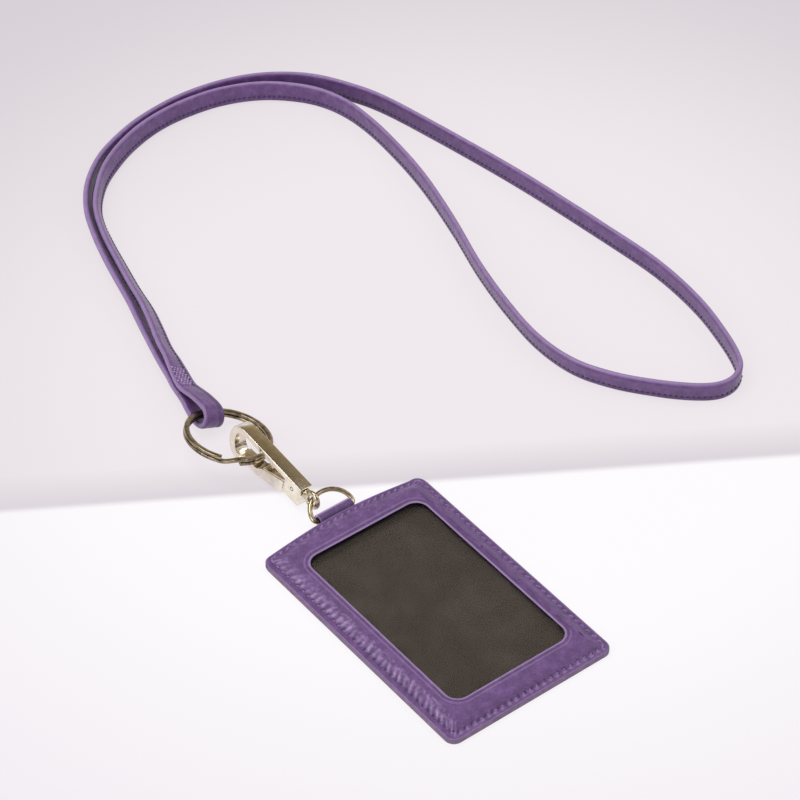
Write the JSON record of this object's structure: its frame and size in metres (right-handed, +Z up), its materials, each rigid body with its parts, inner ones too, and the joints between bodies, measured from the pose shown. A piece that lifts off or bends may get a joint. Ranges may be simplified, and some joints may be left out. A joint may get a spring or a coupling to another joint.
{
  "type": "lanyard card holder",
  "caption": "Leather card holder with a clear window, hung from a folded leather neck strap by a D ring, a swivelling trigger hook and a split ring.",
  "frame": {"origin": "middle of the holder in plan, on the surface that its back lies on", "axes": "+X across the holder, +Y along it towards its tab and the strap, +Z up out of the surface, through the window"},
  "size_m": [0.2115, 0.3364, 0.0155],
  "materials": {
    "leather": "soft satin, fine pebble grain",
    "lining": "matte",
    "film": "clear, glossy",
    "plated_metal": "polished, pale gold plate",
    "spring_steel": "drawn wire"
  },
  "bodies": {
    "holder": {"back_panel": "leather", "pocket_lining": "lining", "window_film": "film", "front_panel": "leather", "ring_tab": "leather"},
    "d_ring": {"d_ring": "plated_metal"},
    "swivel_eye": {"swivel_eye": "plated_metal"},
    "hook": {"hook_body": "plated_metal", "gate_pin": "plated_metal", "gate_spring": "spring_steel"},
    "gate": {"gate_lever": "plated_metal"},
    "split_ring": {"split_ring": "plated_metal"},
    "strap": {"strap_end_fold": "leather", "strap": "leather"}
  },
  "joints": [
    {"name": "d_ring_swing", "type": "hinge", "parent": "holder", "child": "d_ring", "pos_m": [-0.001, 0.0559, 0.003], "axis": [1, 0, 0], "range_deg": [-80, 90]},
    {"name": "eye_swing", "type": "hinge", "parent": "d_ring", "child": "swivel_eye", "pos_m": [-0.00562, 0.06288, 0.00669], "axis": [0.8768, 0.4285, 0.2183], "range_deg": [-25, 25]},
    {"name": "hook_swivel", "type": "hinge", "parent": "swivel_eye", "child": "hook", "pos_m": [-0.00573, 0.06682, 0.00735], "axis": [-0.0293, 0.9861, 0.1633], "continuous": true},
    {"name": "gate_hinge", "type": "hinge", "parent": "hook", "child": "gate", "pos_m": [-0.00599, 0.07131, 0.00719], "axis": [0.9889, 0.0524, -0.139], "range_deg": [0, 9], "stiffness_Nm_per_rad": 0.02, "springref_deg": -17.19, "deforming": ["gate_spring"]},
    {"name": "split_ring_swing", "type": "hinge", "parent": "gate", "child": "split_ring", "pos_m": [-0.0082, 0.09258, 0.00597], "axis": [0.9517, 0.1219, -0.2819], "range_deg": [-25, 60]},
    {"name": "strap_swing", "type": "hinge", "parent": "split_ring", "child": "strap", "pos_m": [-0.00897, 0.1233, 0.00619], "axis": [0.9565, -0.0698, -0.2833], "range_deg": [-30, 60]}
  ]
}
